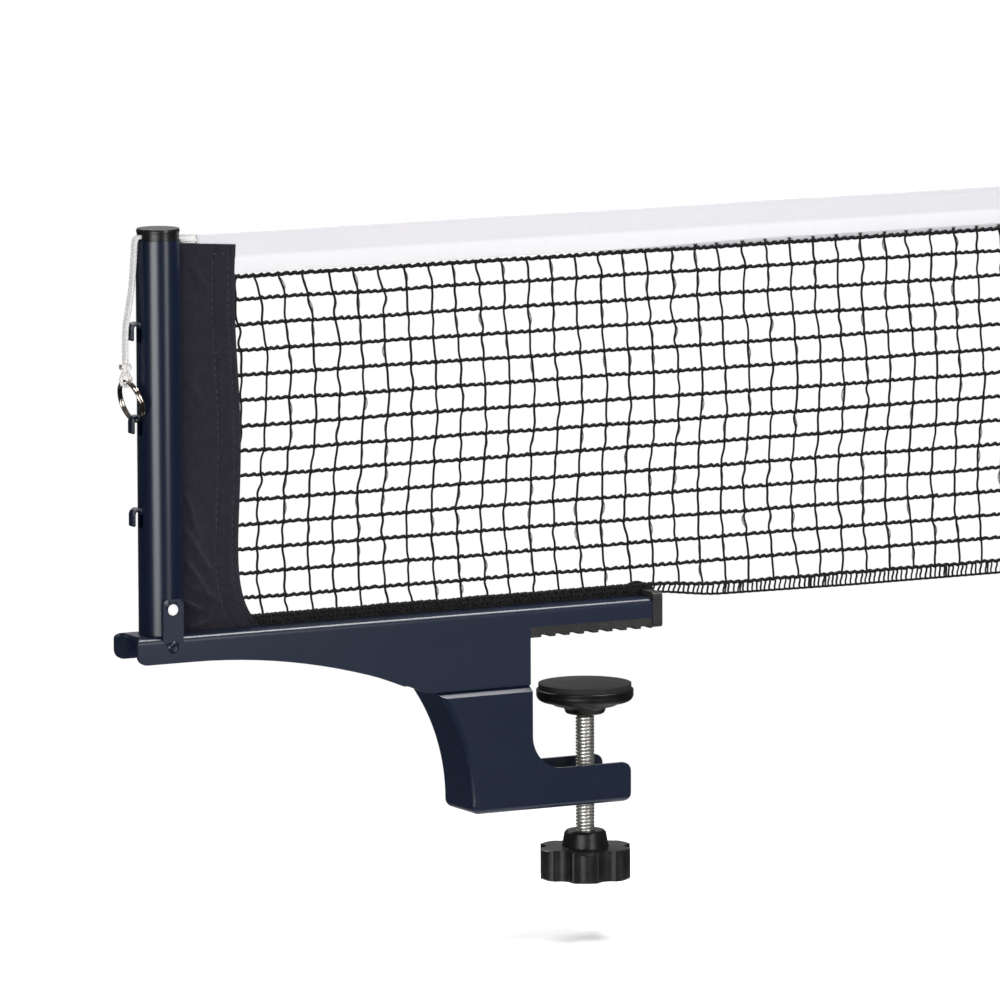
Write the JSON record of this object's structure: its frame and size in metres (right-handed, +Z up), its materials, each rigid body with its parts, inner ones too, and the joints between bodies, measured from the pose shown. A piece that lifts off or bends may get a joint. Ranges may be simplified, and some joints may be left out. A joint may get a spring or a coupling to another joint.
{
  "type": "table tennis net clamp",
  "caption": "Screw clamp of folded sheet steel for the edge of a table, with a slit net post, cord hooks, tension cord and a stretch of net.",
  "frame": {"origin": "on the axis of the clamp screw, level with the table top that the liner's ribs rest on", "axes": "+X along the net towards the middle of the table, +Y across the net, +Z up"},
  "size_m": [0.3902, 0.0354, 0.2459],
  "materials": {
    "slate_paint": "satin slate-navy powder coat",
    "navy_paint": "satin dark navy paint",
    "zinc": "bright zinc plating",
    "nickel": "bright nickel plating",
    "black_plastic": "fine-grained black plastic",
    "grey_plastic": "matt dark grey plastic",
    "white_plastic": "white nylon",
    "facing_rubber": "matt black rubber",
    "white_cord": "braided white cord",
    "sleeve_cloth": "dark woven cloth",
    "white_cloth": "white coated tape",
    "black_cord": "black twisted cord"
  },
  "bodies": {
    "frame": {"upper_bracket": "slate_paint", "lower_jaw": "navy_paint", "jaw_nut": "zinc", "post_tube": "navy_paint", "post_cap": "black_plastic", "foot_rivet": "slate_paint", "locating_peg": "white_plastic", "table_liner": "grey_plastic", "liner_end_cap": "grey_plastic", "split_ring": "nickel", "cord_strand_front": "white_cord", "cord_strand_rear": "white_cord", "cord_loop": "white_cord", "cord_knot": "white_cord", "net_rod": "zinc", "end_sleeve": "sleeve_cloth", "net_tape": "white_cloth", "net_mesh": "black_cord", "net_selvedge": "black_cord", "far_sleeve": "sleeve_cloth", "far_rod": "zinc"},
    "pad": {"pressure_pad": "black_plastic", "pad_facing": "facing_rubber"},
    "screw": {"clamp_screw": "zinc", "pad_circlip": "zinc", "knob": "black_plastic"}
  },
  "joints": [
    {"name": "clamp_travel", "type": "slide", "parent": "frame", "child": "pad", "axis": [0, 0, 1], "range_m": [-0.018, 0.01]},
    {"name": "screw_turn", "type": "hinge", "parent": "pad", "child": "screw", "pos_m": [0, 0, 0], "axis": [0, 0, 1], "range_deg": [-5180, 2870]}
  ],
  "couplings": [
    {"joint": "clamp_travel", "follows": "screw_turn", "m_per_rad": 0.00019894}
  ]
}
